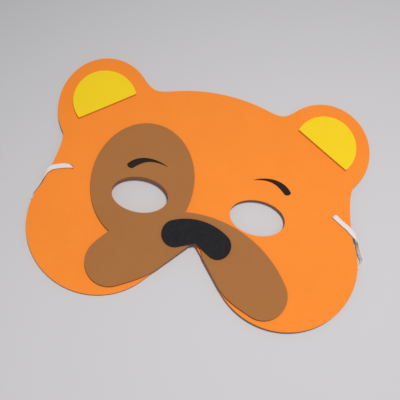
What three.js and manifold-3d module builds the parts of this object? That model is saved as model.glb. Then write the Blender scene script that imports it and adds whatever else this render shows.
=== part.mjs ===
// Bear mask: a child's half mask cut from 2 mm foam sheet, lying face up with its elastic under it.
// Millimetres. X runs across the face, Y from the chin to the ears, Z up from the table. The origin is
// on the table under the middle of the mask, and left means -X, as the face is seen from the front.

import * as THREE from 'three';
import { mergeVertices } from 'three/addons/utils/BufferGeometryUtils.js';
import Module from 'manifold-3d';

// Driving dimensions

const FOAM = 2;
const GLUE_GAP = 0.15;
const INK = 0.3;

// Half of the face outline, from the top of the forehead round to the mouth notch: three elliptic
// arcs, each joined to the next by a smooth curve whose two handles are these shares of its chord.
// Both halves are given as right ones; they are cut by hand and differ a little.
const FOREHEAD = { x: 0, y: -43.5, rx: 115, ry: 115, from: 90, to: 73.5, blend: [0.52, 0.52] };
const FACE_HALVES = {
  left: {
    ear: { x: 76.4, y: 45.3, rx: 31.5, ry: 35.5, from: 133, to: -41, blend: [0.18, 0.07] },
    cheek: { x: 62.9, y: -35.4, rx: 46.4, ry: 44.65, from: 24.5 },
  },
  right: {
    ear: { x: 75.2, y: 46.8, rx: 32.55, ry: 33.1, from: 133, to: -40, blend: [0.22, 0.08] },
    cheek: { x: 61.3, y: -34.4, rx: 48.4, ry: 45.5, from: 28 },
  },
};
const MOUTH_NOTCH_Y = -33.9;

const EYE_HOLE = { rx: 18.55, ry: 11.75 };
const EYE_PLACES = {
  left: { x: -40.7, y: -10.6, tilt: 1.7 },
  right: { x: 38.2, y: -9.7, tilt: -0.9 },
};
const SLOT = { length: 5, width: 2.6 };
const SLOT_PLACES = {
  left: { x: -88.6, y: -0.6, turn: -34 },
  right: { x: 88.8, y: 2, turn: 49 },
};

// The muzzle is a broad arc over two round lobes that meet it at these angles. The underside leaves a
// lobe at a slope and joins the edge of the mouth notch at a height; the eye patch is an egg.
const MUZZLE = {
  over: { x: -0.7, y: -92.6, r: 77.2 },
  lobeR: 15.85,
  tip: { x: 2, y: -32 },
  right: { meet: 32.9, slope: 22, joinY: -58, leaveY: -43, corner: 0.8 },
  left: { meet: 144.7, slope: 26.5, joinY: -56, corner: 0.67 },
};
const EYE_PATCH = { x: -40.7, y: -0.9, rx: 33.8, ry: 40.8, tilt: -1.2 };

const NOSE = { lobeX: 14.5, lobeR: 8.7, topY: 12.6, slope: 26.5 };
const NOSE_PLACE = { x: 1.25, y: -32.45, turn: -5 };

const EAR_INSET_R = 21.5;
const EAR_INSET_PLACES = {
  left: { x: -77.25, y: 49.2, turn: 126.6, chord: 4.3 },
  right: { x: 75.95, y: 49.25, turn: 59, chord: 3.6 },
};

// A brow starts at its fine inner tip and runs outward (u) with its arch above (v): the handles of its
// upper edge, of its round outer end and of its underside.
const BROW = {
  top: [[0, 0], [8.5, 4.5], [20.5, 4.9], [26.5, -3.6]],
  end: [[26.5, -3.6], [26.6, -5], [24.8, -6.3], [22.6, -5.8]],
  underside: [[22.6, -5.8], [15.3, 1.4], [11, 2.6], [0, 0]],
};
const BROW_PLACES = {
  left: { x: -26.55, y: 11.77 },
  right: { x: 31.14, y: 15.44 },
};

// The soft sheet bows up in a low arch across the elastic and lies flat beyond its reach.
const ARCH = { y: -12, reach: 64, lift: 3, strips: 16 };

const STRAP = { width: 3.2, thickness: 0.8, steps: 120 };
// Route of the elastic from the left slot to the right one. Hang is how far the band has rolled over,
// skew how far its end is turned in the slot.
const STRAP_ROUTE = [
  { x: -88.3, y: -0.55, z: 2.5, hang: 0, skew: 45 },
  { x: -88.4, y: -0.6, z: 4.2, hang: 0, skew: 45 },
  { x: -89.4, y: -0.75, z: 5.4, hang: 0, skew: 40 },
  { x: -91.2, y: -1.05, z: 5.55, hang: 0, skew: 25 },
  { x: -93.2, y: -1.45, z: 5.6, hang: 0, skew: 8 },
  { x: -95.6, y: -2.2, z: 5.6, hang: 0, skew: 0 },
  { x: -98.6, y: -3.3, z: 5.65, hang: 0, skew: 0 },
  { x: -100.8, y: -4.5, z: 5.75, hang: 8, skew: 0 },
  { x: -102.4, y: -6.2, z: 5.65, hang: 25, skew: 0 },
  { x: -103.5, y: -8.3, z: 5.3, hang: 50, skew: 0 },
  { x: -104.2, y: -10.8, z: 4.8, hang: 75, skew: 0 },
  { x: -105.2, y: -14.2, z: 4, hang: 90, skew: 0 },
  { x: -106.6, y: -18.2, z: 3, hang: 95, skew: 0 },
  { x: -108.2, y: -21.8, z: 2.1, hang: 110, skew: 0 },
  { x: -108.8, y: -24.6, z: 1.5, hang: 135, skew: 0 },
  { x: -107.2, y: -27, z: 0.8, hang: 165, skew: 0 },
  { x: -103, y: -27.9, z: 0.45, hang: 180, skew: 0 },
  { x: -90, y: -28.2, z: 0.45, hang: 180, skew: 0 },
  { x: -70, y: -28.2, z: 0.45, hang: 180, skew: 0 },
  { x: -45, y: -27.8, z: 0.45, hang: 180, skew: 0 },
  { x: -20, y: -27.6, z: 0.45, hang: 180, skew: 0 },
  { x: 5, y: -27.6, z: 0.45, hang: 180, skew: 0 },
  { x: 30, y: -27.9, z: 0.45, hang: 180, skew: 0 },
  { x: 55, y: -28.2, z: 0.45, hang: 180, skew: 0 },
  { x: 80, y: -28.8, z: 0.45, hang: 180, skew: 0 },
  { x: 95, y: -29.7, z: 0.45, hang: 180, skew: 0 },
  { x: 103.6, y: -29.9, z: 0.45, hang: 180, skew: 0 },
  { x: 108.9, y: -28.9, z: 0.8, hang: 165, skew: 0 },
  { x: 111.4, y: -26.4, z: 1.6, hang: 122, skew: 0 },
  { x: 112, y: -23.2, z: 1.9, hang: 98, skew: 0 },
  { x: 110.7, y: -20.8, z: 2.4, hang: 90, skew: 0 },
  { x: 109.1, y: -18.2, z: 3, hang: 88, skew: 0 },
  { x: 107.9, y: -15.4, z: 3.6, hang: 86, skew: 0 },
  { x: 107, y: -12.5, z: 4.3, hang: 75, skew: 0 },
  { x: 105.6, y: -10.2, z: 4.9, hang: 50, skew: 0 },
  { x: 103.9, y: -8.6, z: 5.5, hang: 16, skew: 0 },
  { x: 101.7, y: -6.9, z: 5.75, hang: 0, skew: 0 },
  { x: 99, y: -4.6, z: 5.7, hang: 0, skew: 0 },
  { x: 95.2, y: -2.4, z: 5.6, hang: 0, skew: 0 },
  { x: 91.5, y: 0, z: 5.5, hang: 0, skew: 0 },
  { x: 89.4, y: 1.5, z: 5.35, hang: 0, skew: 0 },
  { x: 88.6, y: 2.1, z: 4.2, hang: 0, skew: 0 },
  { x: 88.5, y: 2.2, z: 2.5, hang: 0, skew: 0 },
];
const KNOT = { z: 1.1, rx: 3.2, ry: 2.6, rz: 1 };

// Longest chord on a curved outline
const CHORD = 3;

const wasm = await Module();
wasm.setup();

// Outlines

const sides = { left: -1, right: 1 };
const rad = THREE.MathUtils.degToRad;
const vec = (x, y) => new THREE.Vector2(x, y);

function arc({ x, y, rx, ry, from, to }) {
  return new THREE.EllipseCurve(x, y, rx, ry, rad(from), rad(to), true);
}

function circleArc(x, y, r, from, to) {
  return arc({ x, y, rx: r, ry: r, from, to });
}

function blendCurve(before, after, [leaveShare, arriveShare]) {
  const start = before.getPoint(1);
  const end = after.getPoint(0);
  const chord = start.distanceTo(end);
  const leave = before.getTangent(1).multiplyScalar(chord * leaveShare).add(start);
  const arrive = after.getTangent(0).multiplyScalar(-chord * arriveShare).add(end);
  return new THREE.CubicBezierCurve(start, leave, arrive, end);
}

// A smooth curve whose handles point at the corner where the two tangents cross.
function cornerCurve(before, after, share) {
  const start = before.getPoint(1);
  const end = after.getPoint(0);
  const leave = before.getTangent(1);
  const arrive = after.getTangent(0);
  const reach = end.clone().sub(start).cross(arrive) / leave.cross(arrive);
  const corner = leave.multiplyScalar(reach).add(start);
  const handles = [start, end].map((point) => point.clone().lerp(corner, share));
  return new THREE.CubicBezierCurve(start, ...handles, end);
}

function spacedPoints(curve) {
  const steps = curve.isLineCurve ? 1 : Math.ceil(curve.getLength() / CHORD);
  return curve.getSpacedPoints(steps);
}

function runPoints(curves) {
  return curves.flatMap((curve, i) => spacedPoints(curve).slice(i ? 1 : 0));
}

// Closes two right halves, given from top to bottom of the middle line, anticlockwise.
function joinedHalves(right, left) {
  const mirrored = left.slice(1, -1).reverse().map((p) => vec(-p.x, p.y));
  return [...right, ...mirrored].reverse();
}

function placed(points, { x, y, turn = 0 }) {
  return points.map((p) => p.clone().rotateAround(vec(0, 0), rad(turn)).add(vec(x, y)));
}

// Angle on an ellipse where a straight line from a point on the middle line touches its underside.
function touchAngle({ x, y, rx, ry }, point) {
  const toPoint = vec((point.x - x) / rx, (point.y - y) / ry);
  const angle = toPoint.angle() + Math.acos(1 / toPoint.length());
  return THREE.MathUtils.radToDeg(angle);
}

const notchTip = vec(0, MOUTH_NOTCH_Y);

function cheekArc(half) {
  return arc({ ...half.cheek, to: touchAngle(half.cheek, notchTip) });
}

function faceHalf(half) {
  const forehead = arc(FOREHEAD);
  const ear = arc(half.ear);
  const cheek = cheekArc(half);
  return runPoints([
    forehead,
    blendCurve(forehead, ear, FOREHEAD.blend),
    ear,
    blendCurve(ear, cheek, half.ear.blend),
    cheek,
    new THREE.LineCurve(cheek.getPoint(1), notchTip),
  ]);
}

// Point at a given height on the edge of the mouth notch.
function notchPoint(name, y) {
  const touch = cheekArc(FACE_HALVES[name]).getPoint(1);
  const point = notchTip.clone().lerp(touch, (y - notchTip.y) / (touch.y - notchTip.y));
  return vec(sides[name] * point.x, point.y);
}

function ellipseOutline({ x, y, rx, ry, tilt }) {
  const whole = new THREE.EllipseCurve(x, y, rx, ry, 0, 2 * Math.PI, false, rad(tilt));
  return spacedPoints(whole).slice(1);
}

function eyeOutline(place) {
  return ellipseOutline({ ...EYE_HOLE, ...place });
}

function slotOutline(place) {
  const r = SLOT.width / 2;
  const reach = SLOT.length / 2 - r;
  const ends = [circleArc(reach, 0, r, 90, -90), circleArc(-reach, 0, r, -90, 90)];
  return placed(ends.flatMap((end) => end.getPoints(6)), place);
}

function muzzleLobe(from, to, meet) {
  const { over, lobeR } = MUZZLE;
  const centre = vec(over.r - lobeR, 0).rotateAround(vec(0, 0), rad(meet)).add(over);
  return circleArc(centre.x, centre.y, lobeR, from, to);
}

// Clockwise over the top and round the right lobe to the notch, up to the tip and back by the left lobe.
function muzzleOutline() {
  const { over, right, left } = MUZZLE;
  const tip = vec(MUZZLE.tip.x, MUZZLE.tip.y);
  const rightLobe = muzzleLobe(right.meet, -90 - right.slope, right.meet);
  const leftLobe = muzzleLobe(-90 + left.slope, left.meet, left.meet);
  const rightLeave = notchPoint('right', right.leaveY);
  const rightNotch = new THREE.LineCurve(notchPoint('right', right.joinY), rightLeave);
  const leftNotch = new THREE.LineCurve(tip, notchPoint('left', left.joinY));
  const run = runPoints([
    circleArc(over.x, over.y, over.r, left.meet, right.meet),
    rightLobe,
    cornerCurve(rightLobe, rightNotch, right.corner),
    rightNotch,
    new THREE.LineCurve(rightLeave, tip),
    leftNotch,
    cornerCurve(leftNotch, leftLobe, left.corner),
    leftLobe,
  ]);
  return run.slice(1).reverse();
}

function noseOutline() {
  const { lobeX, lobeR, topY, slope } = NOSE;
  const topR = (lobeX ** 2 + topY ** 2 - lobeR ** 2) / (2 * (topY - lobeR));
  const topCentre = vec(0, topY - topR);
  const meet = THREE.MathUtils.radToDeg(vec(lobeX, 0).sub(topCentre).angle());
  const lobe = circleArc(lobeX, 0, lobeR, meet, -90 - slope);
  const lobeEnd = lobe.getPoint(1);
  const middle = vec(0, lobeEnd.y + lobeEnd.x * Math.tan(rad(slope)));
  const half = runPoints([
    circleArc(0, topCentre.y, topR, 90, meet),
    lobe,
    new THREE.LineCurve(lobeEnd, middle),
  ]);
  return joinedHalves(half, half);
}

// A disc with one straight side, a chord past its centre, which faces the middle of the face.
function earInsetOutline(place) {
  const start = THREE.MathUtils.radToDeg(Math.acos(-place.chord / EAR_INSET_R));
  return placed(spacedPoints(circleArc(0, 0, EAR_INSET_R, start, -start)), place);
}

function browOutline(name) {
  const handle = ([u, v]) => vec(sides[name] * u, v);
  const runs = [BROW.top, BROW.end, BROW.underside];
  const curves = runs.map((run) => new THREE.CubicBezierCurve(...run.map(handle)));
  return placed(curves.flatMap((curve) => spacedPoints(curve).slice(1)), BROW_PLACES[name]);
}

// Solids

function lift(y) {
  const away = Math.abs(y - ARCH.y) / ARCH.reach;
  return away < 1 ? ARCH.lift * Math.cos((away * Math.PI) / 2) ** 2 : 0;
}

// A flat closed body of one outline, with its holes cut through.
function flatSheet(outline, bottom, thickness, holes = []) {
  const shape = new THREE.Shape(outline);
  shape.holes = holes.map((points) => new THREE.Path(points));
  const geometry = new THREE.ExtrudeGeometry(shape, { depth: thickness, bevelEnabled: false });
  geometry.translate(0, 0, bottom).deleteAttribute('normal').deleteAttribute('uv');
  const mesh = mergeVertices(geometry, 1e-3);
  return new wasm.Manifold(new wasm.Mesh({
    numProp: 3,
    vertProperties: new Float32Array(mesh.attributes.position.array),
    triVerts: new Uint32Array(mesh.index.array),
  }));
}

function raised(strip) {
  const { numProp, vertProperties, triVerts } = strip.getMesh();
  for (let z = 2; z < vertProperties.length; z += numProp) {
    vertProperties[z] += lift(vertProperties[z - 1]);
  }
  return new wasm.Manifold(new wasm.Mesh({ numProp, vertProperties, triVerts }));
}

// Cuts a flat sheet into strips across the arch and raises each one to the height of the arch there.
function bowed(flat) {
  const strips = [];
  let rest = flat;
  for (let i = 0; i <= ARCH.strips; i += 1) {
    const cutY = ARCH.y + ARCH.reach * ((2 * i) / ARCH.strips - 1);
    const [above, below] = rest.splitByPlane([0, 1, 0], cutY);
    strips.push(below);
    rest = above;
  }
  const arched = [...strips, rest].filter((strip) => !strip.isEmpty()).map(raised);
  const { vertProperties, triVerts } = wasm.Manifold.union(arched).getMesh();
  const geometry = new THREE.BufferGeometry();
  geometry.setAttribute('position', new THREE.BufferAttribute(vertProperties, 3));
  geometry.setIndex(new THREE.BufferAttribute(triVerts, 1));
  return geometry;
}

// A curve that keeps the flat band across its run level, apart from the stated hang and skew.
class BandRoute extends THREE.CatmullRomCurve3 {
  constructor(stations) {
    super(stations.map(({ x, y, z }) => new THREE.Vector3(x, y, z)), false, 'centripetal');
    this.stations = stations;
  }

  angleAt(u, name) {
    const place = this.getUtoTmapping(u) * (this.stations.length - 1);
    const before = Math.min(Math.floor(place), this.stations.length - 2);
    const [start, end] = this.stations.slice(before, before + 2);
    return rad(THREE.MathUtils.lerp(start[name], end[name], place - before));
  }

  // Where the run is too steep to have a level side, the side of the nearest level stretch is kept.
  computeFrenetFrames(steps) {
    const up = new THREE.Vector3(0, 0, 1);
    const steep = 0.75;
    const frames = { tangents: [], normals: [], binormals: [] };
    const sides = [];
    for (let i = 0; i <= steps; i += 1) {
      const tangent = this.getTangentAt(i / steps);
      frames.tangents.push(tangent);
      sides.push(Math.abs(tangent.z) < steep ? up.clone().cross(tangent).normalize() : null);
    }
    const firstLevel = sides.findIndex((side) => side);
    for (let i = 0; i <= steps; i += 1) {
      const tangent = frames.tangents[i];
      sides[i] ??= sides[i - 1] ?? sides[firstLevel];
      const side = sides[i].clone().projectOnPlane(tangent).normalize();
      side.applyAxisAngle(tangent, this.angleAt(i / steps, 'hang'));
      side.applyAxisAngle(up, this.angleAt(i / steps, 'skew'));
      frames.normals.push(side);
      frames.binormals.push(tangent.clone().cross(side));
    }
    return frames;
  }
}

function strapGeometry() {
  const halfWidth = STRAP.width / 2;
  const halfThickness = STRAP.thickness / 2;
  const flat = halfWidth - halfThickness / 2;
  const round = halfThickness / 2;
  const section = new THREE.Shape([
    vec(halfWidth, -round), vec(halfWidth, round), vec(flat, halfThickness), vec(-flat, halfThickness),
    vec(-halfWidth, round), vec(-halfWidth, -round), vec(-flat, -halfThickness), vec(flat, -halfThickness),
  ]);
  const extrudePath = new BandRoute(STRAP_ROUTE);
  return new THREE.ExtrudeGeometry(section, { steps: STRAP.steps, extrudePath, bevelEnabled: false });
}

function knotGeometry() {
  return new THREE.SphereGeometry(1, 12, 8).scale(KNOT.rx, KNOT.ry, KNOT.rz);
}

// Materials

const foam = (color) => new THREE.MeshStandardMaterial({ color, roughness: 0.8, metalness: 0 });
const orangeFoam = foam(0xf68c38);
const brownFoam = foam(0xa7703f);
const blackFoam = foam(0x28272b);
const yellowFoam = foam(0xf5d22c);
const blackInk = new THREE.MeshStandardMaterial({ color: 0x26221f, roughness: 0.6, metalness: 0 });
const whiteBraid = new THREE.MeshStandardMaterial({ color: 0xebe4de, roughness: 0.9, metalness: 0 });

// The mask, from the panel up, then the elastic that lies under it

const mask = new THREE.Group();

function add(name, geometry, material) {
  const mesh = new THREE.Mesh(geometry, material);
  mesh.name = name;
  mask.add(mesh);
  return mesh;
}

const onPanel = FOAM + GLUE_GAP;
const onPatch = onPanel + FOAM + GLUE_GAP;

const faceShape = joinedHalves(faceHalf(FACE_HALVES.right), faceHalf(FACE_HALVES.left));
const faceHoles = [
  ...Object.values(EYE_PLACES).map(eyeOutline),
  ...Object.values(SLOT_PLACES).map(slotOutline),
];
add('face_panel', bowed(flatSheet(faceShape, 0, FOAM, faceHoles)), orangeFoam);

const patchSheet = flatSheet(muzzleOutline(), onPanel, FOAM)
  .add(flatSheet(ellipseOutline(EYE_PATCH), onPanel, FOAM))
  .subtract(flatSheet(eyeOutline(EYE_PLACES.left), 0, 2 * onPatch));
add('muzzle_patch', bowed(patchSheet), brownFoam);

add('nose', bowed(flatSheet(placed(noseOutline(), NOSE_PLACE), onPatch, FOAM)), blackFoam);

for (const name of Object.keys(sides)) {
  const insetShape = earInsetOutline(EAR_INSET_PLACES[name]);
  add(`ear_inset_${name}`, bowed(flatSheet(insetShape, onPanel, FOAM)), yellowFoam);
  const browBottom = name === 'left' ? onPatch : onPanel;
  add(`brow_${name}`, bowed(flatSheet(browOutline(name), browBottom, INK)), blackInk);
}

add('elastic', strapGeometry(), whiteBraid);
const strapEnds = { left: STRAP_ROUTE[0], right: STRAP_ROUTE.at(-1) };
for (const [name, { x, y }] of Object.entries(strapEnds)) {
  add(`knot_${name}`, knotGeometry(), whiteBraid).position.set(x, y, KNOT.z);
}

export default mask;
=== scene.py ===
# Bear mask: a child's half mask cut from craft foam sheet, lying face up on a table with its
# elastic passed under it. Metres in the scene; the cutting patterns below are in millimetres.

from math import acos, atan2, ceil, cos, degrees, pi, radians, sin, sqrt, tan

import bpy
from mathutils import Matrix, Vector
from mathutils.geometry import delaunay_2d_cdt, intersect_line_line_2d
from mathutils.kdtree import KDTree


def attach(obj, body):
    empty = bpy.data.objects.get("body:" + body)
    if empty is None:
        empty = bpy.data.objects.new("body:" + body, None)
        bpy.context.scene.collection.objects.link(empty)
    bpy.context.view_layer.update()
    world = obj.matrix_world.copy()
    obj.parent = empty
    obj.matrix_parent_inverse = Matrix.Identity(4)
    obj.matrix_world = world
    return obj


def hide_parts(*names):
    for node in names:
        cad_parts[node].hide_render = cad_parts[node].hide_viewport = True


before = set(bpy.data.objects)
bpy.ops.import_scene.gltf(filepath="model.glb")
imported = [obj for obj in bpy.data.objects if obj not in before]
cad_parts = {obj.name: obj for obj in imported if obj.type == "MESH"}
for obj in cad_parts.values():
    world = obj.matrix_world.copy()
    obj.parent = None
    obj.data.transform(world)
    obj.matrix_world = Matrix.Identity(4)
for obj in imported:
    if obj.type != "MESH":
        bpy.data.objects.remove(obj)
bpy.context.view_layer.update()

MM = 0.001

# The table under the mask: a plain pale board, larger than the view. It is only there to be lain on,
# so it carries no grain or joints, and stays just clear of the foam's underside.
TABLE_COLOUR = (0.527, 0.514, 0.522, 1)
TABLE_HALF = 1.6
TABLE_TOP = -0.0001
TABLE_ROUGHNESS = 0.7
TABLE_GLOSS = 0.2


def new_material(name):
    material = bpy.data.materials.new(name)
    material.use_nodes = True
    tree = material.node_tree
    shader = tree.nodes["Principled BSDF"]
    return material, tree, shader


def add_piece(name, points, faces, material):
    mesh = bpy.data.meshes.new(name)
    mesh.from_pydata(points, [], faces)
    mesh.validate()
    mesh.materials.append(material)
    piece = bpy.data.objects.new(name, mesh)
    bpy.context.scene.collection.objects.link(piece)
    return piece


table_paint, _, table_shader = new_material("table_paint")
table_shader.inputs["Base Color"].default_value = TABLE_COLOUR
table_shader.inputs["Roughness"].default_value = TABLE_ROUGHNESS
table_shader.inputs["Specular IOR Level"].default_value = TABLE_GLOSS
corner_signs = ((-1, -1), (1, -1), (1, 1), (-1, 1))
table_corners = [(x * TABLE_HALF, y * TABLE_HALF, TABLE_TOP) for x, y in corner_signs]
table = add_piece("table", table_corners, [(0, 1, 2, 3)], table_paint)

# The light: one soft round lamp high over the mask, whose wide beam is aimed in front of the right cheek,
# in an evenly lit white room.
LAMP = {"place": (0.07, 0.22, 1.25), "aim": (0.17, -0.29, 0), "size": 0.16, "power": 61.0, "beam": 66,
        "fade": 1.0}
ROOM_COLOUR = (0.95, 0.97, 1.0, 1)
ROOM_STRENGTH = 0.32


def add_light(name, place, aim, size, power, beam, fade):
    lamp = bpy.data.lights.new(name, "SPOT")
    lamp.shadow_soft_size = size / 2
    lamp.spot_size = radians(beam)
    lamp.spot_blend = fade
    lamp.energy = power
    holder = bpy.data.objects.new(name, lamp)
    holder.location = place
    holder.rotation_euler = (Vector(aim) - Vector(place)).to_track_quat("-Z", "Y").to_euler()
    bpy.context.scene.collection.objects.link(holder)


add_light("lamp", **LAMP)
room = bpy.data.worlds.new("room")
room.use_nodes = True
room.node_tree.nodes["Background"].inputs["Color"].default_value = ROOM_COLOUR
room.node_tree.nodes["Background"].inputs["Strength"].default_value = ROOM_STRENGTH
bpy.context.scene.world = room
bpy.context.scene.view_settings.view_transform = "Standard"

# The camera: held over the chin and tipped a little forward, with the mask turned clockwise in the
# picture. Its lens sees the mask from about two mask widths away.
AIM = Vector((-1.26, -5.27, 3.54)) * MM
DISTANCE = 430.5 * MM
TILT = radians(12.92)
ROLL = radians(19.91)
HEADING = radians(8.53)
LENS = 58.5
SENSOR = 36.0

turn = Matrix.Rotation(-HEADING, 3, "Z")
away = Vector((0, cos(TILT), sin(TILT)))
sight = turn @ Vector((0, sin(TILT), -cos(TILT)))
image_right = turn @ (Vector((cos(ROLL), 0, 0)) + away * sin(ROLL))
image_up = turn @ (Vector((-sin(ROLL), 0, 0)) + away * cos(ROLL))
camera_axes = Matrix((image_right, image_up, -sight)).transposed()
lens = bpy.data.cameras.new("camera")
lens.lens = LENS
lens.sensor_width = SENSOR
lens.clip_start = 0.01
camera = bpy.data.objects.new("camera", lens)
camera.matrix_world = Matrix.Translation(AIM - sight * DISTANCE) @ camera_axes.to_4x4()
bpy.context.scene.collection.objects.link(camera)
bpy.context.scene.camera = camera

# The face: one panel of orange foam with both ears on it, die-cut with its eye holes, the mouth notch
# and a slit for each end of the elastic. It lies on the table and bows up a little in the middle.
FOAM = 2.0
ARCH = {"y": -12, "reach": 64, "lift": 3}
# The lower edge of the right cheek curls up a little off the table.
CURL = {"x": 0, "along": 35, "y": -42, "down": 38, "lift": 1.6}
FOREHEAD = {"x": 0, "y": -43.5, "rx": 115, "ry": 115, "start": 90, "end": 73.5}
# The two halves differ a little; both are drawn as right ones.
LEFT_HALF = {
    "ear": {"x": 76.4, "y": 45.3, "rx": 31.5, "ry": 35.5, "start": 133, "end": -41},
    "cheek": {"x": 62.9, "y": -35.4, "rx": 46.4, "ry": 44.65, "start": 24.5},
    "ear_to_cheek": (0.18, 0.07),
}
RIGHT_HALF = {
    "ear": {"x": 75.2, "y": 46.8, "rx": 32.55, "ry": 33.1, "start": 133, "end": -40},
    "cheek": {"x": 61.3, "y": -34.4, "rx": 48.4, "ry": 45.5, "start": 28},
    "ear_to_cheek": (0.22, 0.08),
}
FOREHEAD_TO_EAR = (0.52, 0.52)
NOTCH_TIP = Vector((0, -33.9))
EYE_SIZE = {"rx": 18.55, "ry": 11.75}
LEFT_EYE = {"x": -40.7, "y": -10.6, "tilt": 1.7}
RIGHT_EYE = {"x": 38.2, "y": -9.7, "tilt": -0.9}
SLIT = {"length": 3.9, "width": 1.8}
LEFT_SLIT = {"x": -88.7, "y": -0.75, "tilt": -34}
RIGHT_SLIT = {"x": 88.9, "y": 1.92, "tilt": 49}
CURVE_STEP = 0.25
CUT_STEP = 1.0
FACE_STEP = 3.0
# The share of a net's step that its inner points keep clear of the cut line.
NET_CLEAR = 0.55
SHARP_ANGLE = radians(48)
# How far in from the cut line the foam's side lies, from its underside to its top.
CUT_SIDE = ((0.6, 0), (0.14, 0), (0.03, 0.08), (0, 0.3), (0.06, 1), (0, 1.66),
            (0.04, 1.84), (0.14, 1.95), (0.3, 2), (0.75, 2))
# The grain of the foam, in features for each metre, and the depth of its bumps in metres.
FOAM_CELLS = 1500
FOAM_CLOUDS = 55
FOAM_SHEEN_PATCHES = 380
FOAM_SKIN = 420
FOAM_GLOSS = 0.1
PORE_DEPTH = 0.00012
SKIN_DEPTH = 0.0002
ORANGE = (0.846, 0.240, 0.0285)
ORANGE_DEEP = (0.818, 0.226, 0.026)


def round_run(x, y, rx, ry, start, end):
    swing = radians(start - end)
    count = max(8, ceil(abs(swing) * max(rx, ry) / CURVE_STEP))
    angles = [radians(start) - swing * i / count for i in range(count + 1)]
    return [Vector((x + rx * cos(a), y + ry * sin(a))) for a in angles]


def bridge_run(before, after, shares):
    first, last = before[-1], after[0]
    chord = (last - first).length
    leave = first + (before[-1] - before[-2]).normalized() * chord * shares[0]
    arrive = last - (after[1] - after[0]).normalized() * chord * shares[1]
    return bezier_run(first, leave, arrive, last)


def bezier_run(first, leave, arrive, last, count=160):
    run = []
    for i in range(count + 1):
        t = i / count
        s = 1 - t
        run.append(first * s**3 + leave * 3 * s * s * t + arrive * 3 * s * t * t + last * t**3)
    return run


def evenly(run, step):
    lengths = [0.0]
    for a, b in zip(run, run[1:]):
        lengths.append(lengths[-1] + (b - a).length)
    count = max(1, round(lengths[-1] / step))
    spaced = []
    k = 0
    for i in range(count + 1):
        goal = lengths[-1] * i / count
        while k < len(run) - 2 and lengths[k + 1] < goal:
            k += 1
        share = (goal - lengths[k]) / max(lengths[k + 1] - lengths[k], 1e-9)
        spaced.append(run[k].lerp(run[k + 1], share))
    return spaced


def one_line(runs, step):
    line = []
    for run in runs:
        line += evenly(run, step)[:-1]
    return line + [runs[-1][-1]]


def whole_pattern(right, left):
    mirrored = [Vector((-p.x, p.y)) for p in reversed(left[1:-1])]
    return (right + mirrored)[::-1]


def placed(points, x, y, tilt=0):
    spin = Matrix.Rotation(radians(tilt), 2)
    return [spin @ p + Vector((x, y)) for p in points]


def oval_pattern(x, y, tilt, rx, ry, step=CUT_STEP):
    return placed(evenly(round_run(0, 0, rx, ry, 360, 0), step)[:-1], x, y, tilt)


def slit_pattern(place):
    reach = (SLIT["length"] - SLIT["width"]) / 2
    r = SLIT["width"] / 2
    ends = round_run(reach, 0, r, r, 90, -90)[::3] + round_run(-reach, 0, r, r, -90, -270)[::3]
    return placed(ends, **place)


def touch_angle(x, y, rx, ry, point):
    toward = Vector(((point.x - x) / rx, (point.y - y) / ry))
    return degrees(atan2(toward.y, toward.x) + acos(1 / toward.length)) % 360 - 360


def ease(share):
    share = min(max(share, 0.0), 1.0)
    return share * share * (3 - 2 * share)


def arch_height(p):
    off = abs(p.y - ARCH["y"]) / ARCH["reach"]
    bow = ARCH["lift"] * cos(off * pi / 2) ** 2 if off < 1 else 0.0
    curl = ease((p.x - CURL["x"]) / CURL["along"]) * ease((CURL["y"] - p.y) / CURL["down"])
    return bow + CURL["lift"] * curl


def drawn_in(loop, inset):
    moved = []
    for before, point, after in zip(loop[-1:] + loop[:-1], loop, loop[1:] + loop[:1]):
        a, b = (point - before).normalized(), (after - point).normalized()
        left = Vector((-a.y - b.y, a.x + b.x))
        left = left.normalized() if left.length > 1e-6 else Vector((-a.y, a.x))
        open_out = max(left.dot(Vector((-a.y, a.x))), 0.5)
        moved.append(point + left * inset / open_out)
    return moved


def is_inside(point, loop):
    inside = False
    for a, b in zip(loop, loop[1:] + loop[:1]):
        if (a.y > point.y) != (b.y > point.y):
            if point.x < a.x + (point.y - a.y) / (b.y - a.y) * (b.x - a.x):
                inside = not inside
    return inside


def face_net(loops, step):
    edge_points = [p for loop in loops for p in loop]
    nearest = KDTree(len(edge_points))
    for i, p in enumerate(edge_points):
        nearest.insert((p.x, p.y, 0), i)
    nearest.balance()
    inner = []
    row_step = step * sqrt(3) / 2
    lows = [min(p[k] for p in loops[0]) for k in (0, 1)]
    highs = [max(p[k] for p in loops[0]) for k in (0, 1)]
    for row in range(ceil((highs[1] - lows[1]) / row_step)):
        y = lows[1] + row * row_step
        for column in range(ceil((highs[0] - lows[0]) / step) + 1):
            p = Vector((lows[0] + (column + row % 2 / 2) * step, y))
            if nearest.find((p.x, p.y, 0))[2] < NET_CLEAR * step:
                continue
            if is_inside(p, loops[0]) and not any(is_inside(p, hole) for hole in loops[1:]):
                inner.append(p)
    edges = []
    first = 0
    for loop in loops:
        count = len(loop)
        edges += [(first + i, first + (i + 1) % count) for i in range(count)]
        first += count
    net, _, triangles, came_from, _, _ = delaunay_2d_cdt(edge_points + inner, edges, [], 1, 1e-5)
    number = [ids[0] for ids in came_from]
    kept = []
    for triangle in triangles:
        middle = sum((net[i] for i in triangle), Vector((0, 0))) / 3
        if not any(is_inside(middle, hole) for hole in loops[1:]):
            kept.append([number[i] for i in triangle])
    return inner, kept


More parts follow.
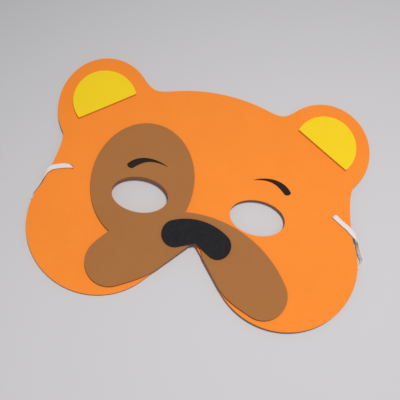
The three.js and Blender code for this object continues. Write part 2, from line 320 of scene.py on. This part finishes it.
def cut_sheet(name, loops, bottom, side, step, material):
    points, faces, cut = [], [], []

    def add_points(flat, height, is_cut):
        first = len(points)
        points.extend((p.x * MM, p.y * MM, (bottom + height + arch_height(p)) * MM) for p in flat)
        cut.extend([is_cut] * len(flat))
        return first

    rows = []
    for k, (inset, height) in enumerate(side):
        ring = [drawn_in(loop, inset) for loop in loops]
        is_cut = 1.0 if 2 <= k <= len(side) - 3 else 0.0
        rows.append((ring, [add_points(loop, height, is_cut) for loop in ring]))
    for (ring, below), (_, above) in zip(rows, rows[1:]):
        for loop, low, high in zip(ring, below, above):
            count = len(loop)
            for i in range(count):
                j = (i + 1) % count
                faces.append((low + i, low + j, high + j, high + i))
    for (ring, firsts), height, is_top in ((rows[0], side[0][1], False), (rows[-1], side[-1][1], True)):
        inner, triangles = face_net(ring, step)
        number = [first + i for loop, first in zip(ring, firsts) for i in range(len(loop))]
        first_inner = add_points(inner, height, 0.0)
        number += range(first_inner, first_inner + len(inner))
        for triangle in triangles:
            corners = [number[i] for i in triangle]
            faces.append(corners if is_top else corners[::-1])
    piece = add_piece(name, points, faces, material)
    mark = piece.data.attributes.new("cut_side", "FLOAT", "POINT")
    mark.data.foreach_set("value", cut)
    piece.data.shade_smooth()
    piece.data.set_sharp_from_angle(angle=SHARP_ANGLE)
    return piece


def foam_material(name, colour, deep_colour):
    material, tree, shader = new_material(name)
    nodes, links = tree.nodes, tree.links
    place = nodes.new("ShaderNodeTexCoord").outputs["Object"]

    def noise(scale, detail):
        node = nodes.new("ShaderNodeTexNoise")
        node.inputs["Scale"].default_value = scale
        node.inputs["Detail"].default_value = detail
        links.new(place, node.inputs["Vector"])
        return node.outputs["Fac"]

    def blend(share, low, high):
        node = nodes.new("ShaderNodeMix")
        node.data_type = "RGBA"
        links.new(share, node.inputs["Factor"])
        for socket, value in ((node.inputs["A"], low), (node.inputs["B"], high)):
            if isinstance(value, bpy.types.NodeSocket):
                links.new(value, socket)
            else:
                socket.default_value = (*value, 1)
        return node.outputs["Result"]

    def spread(value, low, high, out_low, out_high):
        node = nodes.new("ShaderNodeMapRange")
        for socket, number in zip(node.inputs[1:5], (low, high, out_low, out_high)):
            socket.default_value = number
        links.new(value, node.inputs["Value"])
        return node.outputs["Result"]

    cells = nodes.new("ShaderNodeTexVoronoi")
    cells.inputs["Scale"].default_value = FOAM_CELLS
    links.new(place, cells.inputs["Vector"])
    side_mark = nodes.new("ShaderNodeAttribute")
    side_mark.attribute_name = "cut_side"
    cloudy = spread(noise(FOAM_CLOUDS, 5), 0.3, 0.7, 0.0, 1.0)
    face_colour = blend(cloudy, deep_colour, colour)
    speck = spread(cells.outputs["Distance"], 0.0, 0.6, 0.0, 0.35)
    face_colour = blend(speck, face_colour, deep_colour)
    pale = tuple(0.75 * c + 0.25 * (c + 0.1) for c in colour)
    links.new(blend(side_mark.outputs["Fac"], face_colour, pale), shader.inputs["Base Color"])
    roughness = spread(noise(FOAM_SHEEN_PATCHES, 3), 0.3, 0.7, 0.66, 0.82)
    links.new(roughness, shader.inputs["Roughness"])
    shader.inputs["Specular IOR Level"].default_value = FOAM_GLOSS

    pores = nodes.new("ShaderNodeBump")
    pores.inputs["Strength"].default_value = 0.18
    pores.inputs["Distance"].default_value = PORE_DEPTH
    links.new(cells.outputs["Distance"], pores.inputs["Height"])
    skin = nodes.new("ShaderNodeBump")
    skin.inputs["Strength"].default_value = 0.12
    skin.inputs["Distance"].default_value = SKIN_DEPTH
    links.new(noise(FOAM_SKIN, 4), skin.inputs["Height"])
    links.new(pores.outputs["Normal"], skin.inputs["Normal"])
    links.new(skin.outputs["Normal"], shader.inputs["Normal"])
    return material


def dress(piece, node):
    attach(piece, "root")
    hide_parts(node)


def cheek_line(half):
    cheek = half["cheek"]
    touch = touch_angle(cheek["x"], cheek["y"], cheek["rx"], cheek["ry"], NOTCH_TIP)
    return round_run(**cheek, end=touch)


def face_half(half):
    forehead = round_run(**FOREHEAD)
    ear = round_run(**half["ear"])
    cheek = cheek_line(half)
    temple = bridge_run(forehead, ear, FOREHEAD_TO_EAR)
    dent = bridge_run(ear, cheek, half["ear_to_cheek"])
    return one_line([forehead, temple, ear, dent, cheek, [cheek[-1], NOTCH_TIP]], CUT_STEP)


face_outline = whole_pattern(face_half(RIGHT_HALF), face_half(LEFT_HALF))
left_eye = oval_pattern(**LEFT_EYE, **EYE_SIZE)
right_eye = oval_pattern(**RIGHT_EYE, **EYE_SIZE)
face_loops = [face_outline, left_eye, right_eye, slit_pattern(LEFT_SLIT), slit_pattern(RIGHT_SLIT)]
orange_foam = foam_material("orange_foam", ORANGE, ORANGE_DEEP)
face = cut_sheet("face", face_loops, 0, CUT_SIDE, FACE_STEP, orange_foam)
dress(face, "face_panel")

# The muzzle: one piece of brown foam, an egg round the left eye that runs on into the two lobes of the
# muzzle, glued flat on the face with its own eye hole over the face's.
GLUE_GAP = 0.15
ON_FACE = FOAM + GLUE_GAP
OVER_ARC = {"x": -0.7, "y": -92.6, "r": 77.2}
LOBE_R = 15.85
MUZZLE_TIP = Vector((2, -32))
# Where a lobe meets the arc over the muzzle, the slope of its underside, the height at which that joins
# the edge of the mouth notch, and how sharp the turn is.
RIGHT_LOBE = {"meet": 32.9, "slope": 22, "join": -58, "turn": 0.8}
LEFT_LOBE = {"meet": 144.7, "slope": 26.5, "join": -56, "turn": 0.67}
RIGHT_LEAVE = -43
EGG = {"x": -40.7, "y": -0.9, "rx": 33.8, "ry": 40.8, "tilt": -1.2}
BROWN = (0.343, 0.140, 0.043)
BROWN_DEEP = (0.328, 0.132, 0.039)


def corner_run(before, after, share):
    first, last = before[-1], after[0]
    leave, arrive = before[-1] - before[-2], after[1] - after[0]
    corner = first + leave * ((last - first).cross(arrive) / leave.cross(arrive))
    return bezier_run(first, first.lerp(corner, share), last.lerp(corner, share), last)


def lobe_run(meet, start, end):
    reach = OVER_ARC["r"] - LOBE_R
    x = OVER_ARC["x"] + reach * cos(radians(meet))
    y = OVER_ARC["y"] + reach * sin(radians(meet))
    return round_run(x, y, LOBE_R, LOBE_R, start, end)


def notch_point(half, side, y):
    touch = cheek_line(half)[-1]
    point = NOTCH_TIP.lerp(touch, (y - NOTCH_TIP.y) / (touch.y - NOTCH_TIP.y))
    return Vector((side * point.x, point.y))


def muzzle_pattern():
    right_meet, left_meet = RIGHT_LOBE["meet"], LEFT_LOBE["meet"]
    over = round_run(OVER_ARC["x"], OVER_ARC["y"], OVER_ARC["r"], OVER_ARC["r"], left_meet, right_meet)
    right_lobe = lobe_run(right_meet, right_meet, -90 - RIGHT_LOBE["slope"])
    left_lobe = lobe_run(left_meet, -90 + LEFT_LOBE["slope"], left_meet - 360)
    leave = notch_point(RIGHT_HALF, 1, RIGHT_LEAVE)
    right_notch = [notch_point(RIGHT_HALF, 1, RIGHT_LOBE["join"]), leave]
    left_notch = [MUZZLE_TIP, notch_point(LEFT_HALF, -1, LEFT_LOBE["join"])]
    right_under = corner_run(right_lobe, right_notch, RIGHT_LOBE["turn"])
    left_under = corner_run(left_notch, left_lobe, LEFT_LOBE["turn"])
    right_runs = [over, right_lobe, right_under, right_notch]
    left_runs = [[leave, MUZZLE_TIP], left_notch, left_under, left_lobe]
    return one_line(right_runs + left_runs, CUT_STEP)[:0:-1]


def outside_run(loop, other):
    outside = [not is_inside(p, other) for p in loop]
    first = next(i for i in range(len(loop)) if outside[i] and not outside[i - 1])
    run = []
    for i in range(len(loop)):
        k = (first + i) % len(loop)
        if not outside[k]:
            return loop[first - 1], run, loop[k]
        run.append(loop[k])


def crossing(a, b, loop):
    for c, d in zip(loop, loop[1:] + loop[:1]):
        hit = intersect_line_line_2d(a, b, c, d)
        if hit:
            return hit


def joined(first, second):
    before, run, after = outside_run(first, second)
    _, other_run, _ = outside_run(second, first)
    into = crossing(run[-1], after, second)
    out_of = crossing(before, run[0], second)
    return run + [into] + other_run + [out_of]


egg = oval_pattern(**EGG)[::-1]
muzzle_loop = joined(muzzle_pattern(), egg)
brown_foam = foam_material("brown_foam", BROWN, BROWN_DEEP)
muzzle = cut_sheet("muzzle", [muzzle_loop, left_eye], ON_FACE, CUT_SIDE, FACE_STEP, brown_foam)
dress(muzzle, "muzzle_patch")

# The nose: a bean of black foam, glued on the muzzle across the top of the mouth notch, so that its
# hollow underside closes the tip of the notch.
ON_MUZZLE = ON_FACE + FOAM + GLUE_GAP
NOSE = {"lobe_x": 14.5, "lobe_r": 8.7, "top": 12.6, "slope": 26.5}
NOSE_PLACE = {"x": 1.25, "y": -32.45, "tilt": -5}
BLACK = (0.0140, 0.0132, 0.0160)
BLACK_DEEP = (0.0125, 0.0117, 0.0142)


def nose_pattern():
    lobe_x, lobe_r, top, slope = NOSE.values()
    over_r = (lobe_x**2 + top**2 - lobe_r**2) / (2 * (top - lobe_r))
    over_y = top - over_r
    meet = degrees(atan2(-over_y, lobe_x))
    over = round_run(0, over_y, over_r, over_r, 90, meet)
    lobe = round_run(lobe_x, 0, lobe_r, lobe_r, meet, -90 - slope)
    middle = Vector((0, lobe[-1].y + lobe[-1].x * tan(radians(slope))))
    half = one_line([over, lobe, [lobe[-1], middle]], CUT_STEP)
    return whole_pattern(half, half)


black_foam = foam_material("black_foam", BLACK, BLACK_DEEP)
nose_loop = placed(nose_pattern(), **NOSE_PLACE)
nose = cut_sheet("foam_nose", [nose_loop], ON_MUZZLE, CUT_SIDE, FACE_STEP, black_foam)
dress(nose, "nose")

# The insides of the ears: two discs of yellow foam with one straight side, which faces the middle of
# the face, each glued on its ear.
EAR_DISC_R = 21.5
EAR_DISC_PLACES = {
    "left": {"x": -77.25, "y": 49.2, "tilt": 126.6, "chord": 4.3},
    "right": {"x": 75.95, "y": 49.25, "tilt": 59, "chord": 3.6},
}
YELLOW = (0.822, 0.574, 0.0140)
YELLOW_DEEP = (0.800, 0.553, 0.0120)


def ear_disc_pattern(x, y, tilt, chord):
    half = degrees(acos(-chord / EAR_DISC_R))
    disc = round_run(0, 0, EAR_DISC_R, EAR_DISC_R, half, -half)
    outline = one_line([disc, [disc[-1], disc[0]]], CUT_STEP)[:-1]
    return placed(outline, x, y, tilt)[::-1]


yellow_foam = foam_material("yellow_foam", YELLOW, YELLOW_DEEP)
for side_name, place in EAR_DISC_PLACES.items():
    loop = ear_disc_pattern(**place)
    disc = cut_sheet(f"ear_disc_{side_name}", [loop], ON_FACE, CUT_SIDE, FACE_STEP, yellow_foam)
    dress(disc, f"ear_inset_{side_name}")

# The brows: two strokes of thick black ink, printed on the foam after it is glued, the left one on the
# brown piece and the right one on the face.
INK_LIFT = -0.1
INK_SIDE = ((0.03, 0), (0, 0.02), (0.01, 0.2), (0.02, 0.28), (0.04, 0.3))
# The stroke runs outward from its fine inner tip.
BROW_OVER = ((0, 0), (8.5, 4.5), (20.5, 4.9), (26.5, -3.6))
BROW_END = ((26.5, -3.6), (26.6, -5), (24.8, -6.3), (22.6, -5.8))
BROW_UNDER = ((22.6, -5.8), (15.3, 1.4), (11, 2.6), (0, 0))
BROW_PLACES = {
    "left": {"side": -1, "x": -26.55, "y": 11.77, "bottom": ON_MUZZLE},
    "right": {"side": 1, "x": 31.14, "y": 15.44, "bottom": ON_FACE},
}
STROKE_STEP = 0.6
INK_STEP = 1.2
INK_GRAIN = 900
INK_DEPTH = 0.0001
INK_ROUGHNESS = 0.62
INK_GLOSS = 0.1
INK_BLACK = (0.012, 0.007, 0.005)


def brow_pattern(side, x, y):
    runs = [bezier_run(*map(Vector, handles)) for handles in (BROW_OVER, BROW_END, BROW_UNDER)]
    stroke = one_line(runs, STROKE_STEP)[:-1]
    stroke = placed([Vector((side * p.x, p.y)) for p in stroke], x, y)
    return stroke if side < 0 else stroke[::-1]


def ink_material(name, colour):
    material, tree, shader = new_material(name)
    nodes, links = tree.nodes, tree.links
    place = nodes.new("ShaderNodeTexCoord").outputs["Object"]
    grain = nodes.new("ShaderNodeTexNoise")
    grain.inputs["Scale"].default_value = INK_GRAIN
    grain.inputs["Detail"].default_value = 4
    links.new(place, grain.inputs["Vector"])
    tone = nodes.new("ShaderNodeValToRGB")
    tone.color_ramp.elements[0].position = 0.3
    tone.color_ramp.elements[0].color = (*colour, 1)
    tone.color_ramp.elements[1].position = 0.75
    tone.color_ramp.elements[1].color = (*(1.4 * c for c in colour), 1)
    links.new(grain.outputs["Fac"], tone.inputs["Fac"])
    links.new(tone.outputs["Color"], shader.inputs["Base Color"])
    shader.inputs["Roughness"].default_value = INK_ROUGHNESS
    shader.inputs["Specular IOR Level"].default_value = INK_GLOSS
    stipple = nodes.new("ShaderNodeBump")
    stipple.inputs["Strength"].default_value = 0.15
    stipple.inputs["Distance"].default_value = INK_DEPTH
    links.new(grain.outputs["Fac"], stipple.inputs["Height"])
    links.new(stipple.outputs["Normal"], shader.inputs["Normal"])
    return material


black_ink = ink_material("black_ink", INK_BLACK)
for side_name, brow_place in BROW_PLACES.items():
    loop = brow_pattern(brow_place["side"], brow_place["x"], brow_place["y"])
    bottom = brow_place["bottom"] + INK_LIFT
    brow = cut_sheet(f"printed_brow_{side_name}", [loop], bottom, INK_SIDE, INK_STEP, black_ink)
    dress(brow, f"brow_{side_name}")

# The elastic: a flat white braid, knotted behind the left slit, led out over the cheek, round its edge,
# under the mask along the table and back up to the right slit. It is a limp cord of one length.
BAND_WIDTH = 3.2
BAND_THICKNESS = 0.8
BAND_CORDS = 7
# Each row is a point of the route, how far the band has rolled over there and how far its end is turned
# in the slit, in degrees.
BAND_ROUTE = (
    (-88.3, -0.55, 2.5, 0, 45), (-88.4, -0.6, 4.2, 0, 45), (-89.4, -0.75, 5.4, 0, 40),
    (-91.2, -1.05, 5.55, 0, 25), (-93.2, -1.45, 5.6, 0, 8), (-95.6, -2.2, 5.6, 0, 0),
    (-98.6, -3.3, 5.65, 0, 0), (-100.8, -4.5, 5.75, 8, 0), (-102.4, -6.2, 5.65, 25, 0),
    (-103.5, -8.3, 5.3, 50, 0), (-104.2, -10.8, 4.8, 75, 0), (-105.2, -14.2, 4, 90, 0),
    (-106.6, -18.2, 3, 95, 0), (-108.2, -21.8, 2.1, 110, 0), (-108.8, -24.6, 1.5, 135, 0),
    (-107.2, -27, 0.8, 165, 0), (-103, -27.9, 0.45, 180, 0), (-90, -28.2, 0.45, 180, 0),
    (-70, -28.2, 0.45, 180, 0), (-45, -27.8, 0.45, 180, 0), (-20, -27.6, 0.45, 180, 0),
    (5, -27.6, 0.45, 180, 0), (30, -27.9, 0.45, 180, 0), (55, -28.2, 0.45, 180, 0),
    (80, -28.8, 0.45, 180, 0), (95, -29.7, 0.45, 180, 0), (103.6, -29.9, 0.45, 180, 0),
    (108.9, -28.9, 0.8, 165, 0), (111.4, -26.4, 1.6, 122, 0), (112, -23.2, 1.9, 120, 0),
    (110.7, -20.8, 2.4, 126, 0), (109.1, -18.2, 3, 124, 0), (107.9, -15.4, 3.6, 114, 0),
    (107, -12.5, 4.3, 88, 0), (105.6, -10.2, 4.9, 50, 0), (103.9, -8.6, 5.5, 16, 0),
    (101.7, -6.9, 5.75, 0, 0), (99, -4.6, 5.7, 0, 0), (95.2, -2.4, 5.6, 0, 0),
    (91.5, 0, 5.5, 0, 0), (89.4, 1.5, 5.35, 0, 0), (88.6, 2.1, 4.2, 0, 0), (88.5, 2.2, 2.5, 0, 0),
)
BAND_STEP = 0.5
STEEP = 0.75
RIB_DEPTH = 0.28
EDGE_THINNING = 0.6
BRAID_PITCH = 0.9
BRAID_SLANT = 1.6
THREAD_DEPTH = 0.00015
# The braid's own white, and a grey that is painted shade for the hollows between its raised threads.
ELASTIC_WHITE = (0.78, 0.755, 0.735)
ELASTIC_PAINTED_SHADE = (0.60, 0.575, 0.555)


def through(route, step):
    points = [Vector(row[:3]) for row in route]
    ends = [points[0] * 2 - points[1]] + points + [points[-1] * 2 - points[-2]]
    run, turns = [], []
    for k in range(len(points) - 1):
        p0, p1, p2, p3 = ends[k:k + 4]
        d0, d1, d2 = (max((b - a).length ** 0.5, 1e-4) for a, b in ((p0, p1), (p1, p2), (p2, p3)))
        leave = ((p1 - p0) / d0 - (p2 - p0) / (d0 + d1) + (p2 - p1) / d1) * d1
        arrive = ((p2 - p1) / d1 - (p3 - p1) / (d1 + d2) + (p3 - p2) / d2) * d1
        count = max(2, round((p2 - p1).length / step))
        for i in range(count):
            t = i / count
            s = 1 - t
            near = p1 * (1 + 2 * t) + leave * t
            far = p2 * (3 - 2 * t) - arrive * s
            run.append(near * s * s + far * t * t)
            turns.append(Vector(route[k][3:]).lerp(Vector(route[k + 1][3:]), t))
    return run + [points[-1]], turns + [Vector(route[-1][3:])]


def band_frames(run, turns):
    headings = []
    for i in range(len(run)):
        headings.append((run[min(i + 1, len(run) - 1)] - run[max(i - 1, 0)]).normalized())
    sides = [Vector((0, 0, 1)).cross(h).normalized() if abs(h.z) < STEEP else None for h in headings]
    level = next(side for side in sides if side)
    frames = []
    for heading, side, (roll, skew) in zip(headings, sides, turns):
        level = side or level
        across = (level - heading * level.dot(heading)).normalized()
        across = Matrix.Rotation(radians(roll), 3, heading) @ across
        across = Matrix.Rotation(radians(skew), 3, "Z") @ across
        frames.append((across, heading.cross(across)))
    return frames


def braid_section():
    half = BAND_WIDTH / 2
    thin = BAND_THICKNESS / 2
    top = []
    steps = BAND_CORDS * 4
    for i in range(steps + 1):
        u = -1 + 2 * i / steps
        rib = abs(cos(pi * BAND_CORDS * (u + 1) / 2 - pi / 2))
        height = thin * (1 - RIB_DEPTH + RIB_DEPTH * rib) * (1 - abs(u) ** 10 * EDGE_THINNING)
        top.append((half * u, height))
    return top[::-1] + [(x, -z) for x, z in top]


def swept_band(name, run, turns, material):
    section = braid_section()
    frames = band_frames(run, turns)
    points = []
    for centre, (across, through_band) in zip(run, frames):
        points += [(centre + across * x + through_band * z) * MM for x, z in section]
    count = len(section)
    faces = []
    for i in range(len(run) - 1):
        for k in range(count):
            n = (k + 1) % count
            faces.append((i * count + k, i * count + n, (i + 1) * count + n, (i + 1) * count + k))
    faces.append(tuple(range(count))[::-1])
    last = (len(run) - 1) * count
    faces.append(tuple(last + k for k in range(count)))
    piece = add_piece(name, points, faces, material)
    lengths = [0.0]
    for a, b in zip(run, run[1:]):
        lengths.append(lengths[-1] + (b - a).length)
    along = piece.data.attributes.new("along", "FLOAT", "POINT")
    along.data.foreach_set("value", [length for length in lengths for _ in range(count)])
    across_mark = piece.data.attributes.new("across", "FLOAT", "POINT")
    across_mark.data.foreach_set("value", [x for _ in run for x, _ in section])
    piece.data.shade_smooth()
    return piece


def braid_material(name):
    material, tree, shader = new_material(name)
    nodes, links = tree.nodes, tree.links

    def attribute(attribute_name):
        node = nodes.new("ShaderNodeAttribute")
        node.attribute_name = attribute_name
        return node.outputs["Fac"]

    def math(operation, a, b):
        node = nodes.new("ShaderNodeMath")
        node.operation = operation
        for socket, value in zip(node.inputs, (a, b)):
            if isinstance(value, bpy.types.NodeSocket):
                links.new(value, socket)
            else:
                socket.default_value = value
        return node.outputs["Value"]

    cord_share = math("PINGPONG", attribute("across"), BAND_WIDTH / BAND_CORDS)
    slanted = math("ADD", attribute("along"), math("MULTIPLY", cord_share, BRAID_SLANT))
    weave = math("SINE", math("MULTIPLY", slanted, 2 * pi / BRAID_PITCH), 0.0)
    lifted = math("MULTIPLY_ADD", weave, 0.5)
    lifted.node.inputs[2].default_value = 0.5
    # Painted shade: the braid's colour goes from white on the raised threads to grey where the weave
    # sinks between them.
    tone = nodes.new("ShaderNodeMix")
    tone.data_type = "RGBA"
    links.new(lifted, tone.inputs["Factor"])
    tone.inputs["A"].default_value = (*ELASTIC_PAINTED_SHADE, 1)
    tone.inputs["B"].default_value = (*ELASTIC_WHITE, 1)
    links.new(tone.outputs["Result"], shader.inputs["Base Color"])
    shader.inputs["Roughness"].default_value = 0.85
    shader.inputs["Specular IOR Level"].default_value = 0.2
    shader.inputs["Sheen Weight"].default_value = 0.2
    threads = nodes.new("ShaderNodeBump")
    threads.inputs["Strength"].default_value = 0.5
    threads.inputs["Distance"].default_value = THREAD_DEPTH
    links.new(lifted, threads.inputs["Height"])
    links.new(threads.outputs["Normal"], shader.inputs["Normal"])
    return material


white_braid = braid_material("white_braid")
band_run, band_turns = through(BAND_ROUTE, BAND_STEP)
elastic = swept_band("elastic_band", band_run, band_turns, white_braid)
dress(elastic, "elastic")

# The knots: each end of the elastic is tied in a small overhand knot behind its slit, pulled flat
# between the foam and the table, so that it can't slip back through.
KNOT = {"z": 1.1, "rx": 2.45, "ry": 1.85, "rz": 0.45}
KNOT_CORD = 0.55
KNOT_STEPS = 96
KNOT_SIDES = 10
KNOT_LAY = 0.25


def knot_piece(name, end, material):
    loop = []
    for i in range(KNOT_STEPS):
        t = 2 * pi * i / KNOT_STEPS
        flat = Vector((sin(t) + 2 * sin(2 * t), cos(t) - 2 * cos(2 * t), -sin(3 * t))) / 3
        loop.append(Vector((flat.x * KNOT["rx"], flat.y * KNOT["ry"], 3 * flat.z * KNOT["rz"])))
    centre = Vector((end.x, end.y, KNOT["z"]))
    points, along, across = [], [], []
    for i, p in enumerate(loop):
        heading = (loop[(i + 1) % KNOT_STEPS] - loop[i - 1]).normalized()
        out = (p - heading * p.dot(heading)).normalized()
        up = heading.cross(out)
        for k in range(KNOT_SIDES):
            a = 2 * pi * k / KNOT_SIDES
            points.append((centre + p + (out * cos(a) + up * sin(a)) * KNOT_CORD) * MM)
            along.append(i * KNOT_LAY)
            across.append(BAND_WIDTH * k / KNOT_SIDES)
    faces = []
    for i in range(KNOT_STEPS):
        for k in range(KNOT_SIDES):
            n = (k + 1) % KNOT_SIDES
            low = i * KNOT_SIDES
            high = (i + 1) % KNOT_STEPS * KNOT_SIDES
            faces.append((low + k, low + n, high + n, high + k))
    piece = add_piece(name, points, faces, material)
    for mark, values in (("along", along), ("across", across)):
        piece.data.attributes.new(mark, "FLOAT", "POINT").data.foreach_set("value", values)
    piece.data.shade_smooth()
    return piece


for side_name, end in (("left", band_run[0]), ("right", band_run[-1])):
    knot = knot_piece(f"tied_knot_{side_name}", end, white_braid)
    dress(knot, f"knot_{side_name}")
